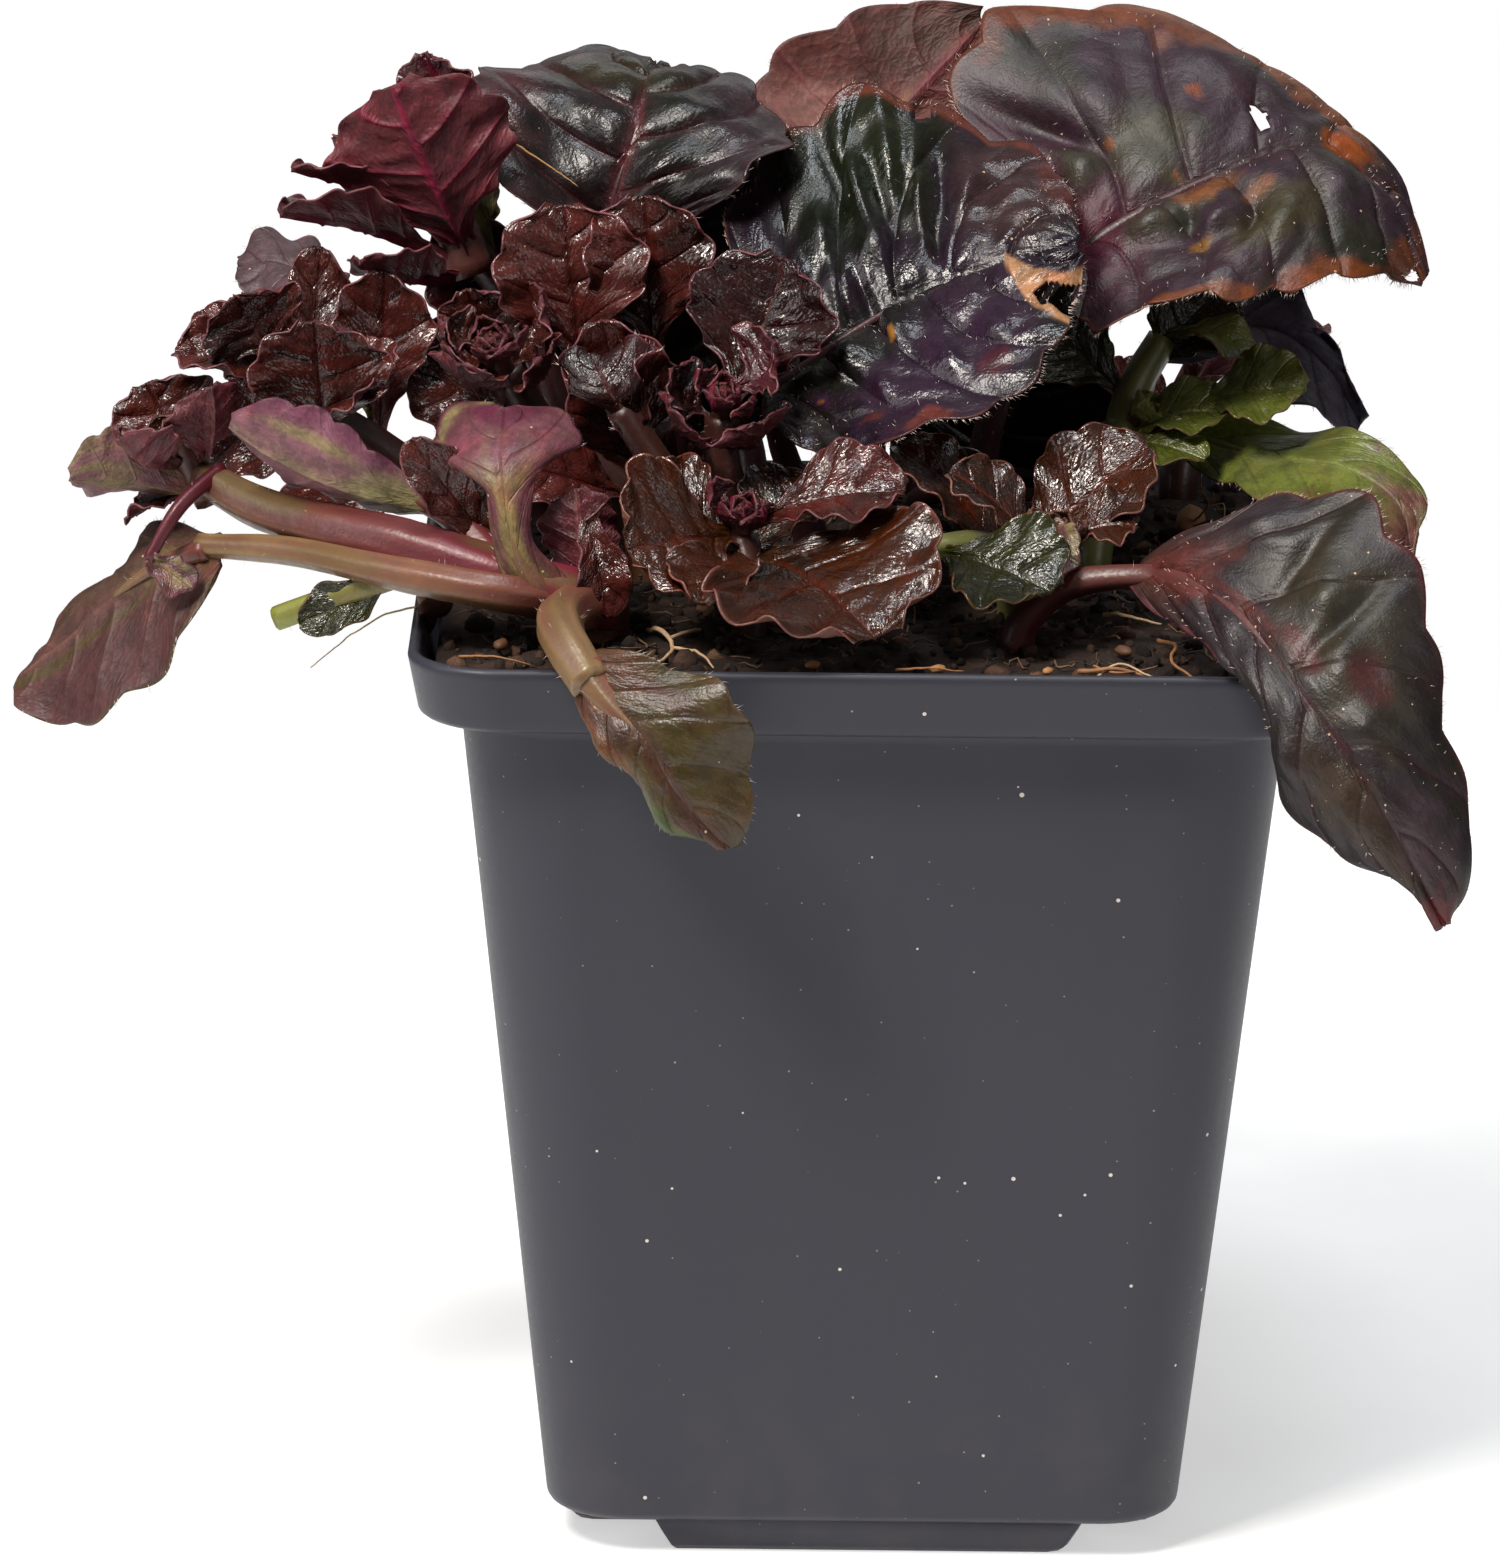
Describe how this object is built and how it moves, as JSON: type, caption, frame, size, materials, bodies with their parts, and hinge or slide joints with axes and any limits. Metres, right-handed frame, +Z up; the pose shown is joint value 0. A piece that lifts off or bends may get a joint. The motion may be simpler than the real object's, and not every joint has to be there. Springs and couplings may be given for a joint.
{
  "type": "potted bugleweed",
  "caption": "Square tapered plastic nursery pot filled with peat, holding a bugleweed with glossy dark scalloped leaves, trailing stems and small leafy rosettes.",
  "frame": {"origin": "centre of the flat underside of the pot's foot", "axes": "+Z up the middle of the pot; -Y towards the side the plant faces; +X to the right of that view"},
  "size_m": [0.1424, 0.1266, 0.1467],
  "materials": {
    "leaf_dark": "glossy, puckered, nearly black purple and green",
    "leaf_underside": "matte, dull purple brown with raised veins",
    "leaf_green": "semi-gloss fresh green, purple at the margin",
    "leaf_plum": "satin plum red",
    "leaf_bronze": "glossy bronze brown with pale margins",
    "leaf_pink": "satin mauve pink and green stems and leaf backs",
    "pot_plastic": "satin dark grey plastic",
    "peat": "rough, crumbly, dark brown"
  },
  "bodies": {
    "root": {"leaf_top_right": "leaf_dark", "leaf_centre": "leaf_dark", "leaf_top_left": "leaf_dark", "leaf_over_rim": "leaf_dark", "leaf_inner_left": "leaf_dark", "leaf_inner_right": "leaf_dark", "leaf_back_left": "leaf_dark", "leaf_back_right": "leaf_dark", "leaf_top_middle": "leaf_underside", "leaf_right_dark": "leaf_underside", "leaf_left_back": "leaf_underside", "leaf_right_green": "leaf_green", "shoot_small_green": "leaf_green", "shoot_upper_left": "leaf_plum", "shoot_left": "leaf_bronze", "shoot_cup": "leaf_bronze", "shoot_middle": "leaf_bronze", "shoot_front": "leaf_bronze", "shoot_right": "leaf_bronze", "shoot_back_left": "leaf_bronze", "shoot_back_middle": "leaf_bronze", "shoot_back_right": "leaf_bronze", "shoot_crown": "leaf_pink", "pot": "pot_plastic", "soil": "peat"}
  },
  "joints": []
}
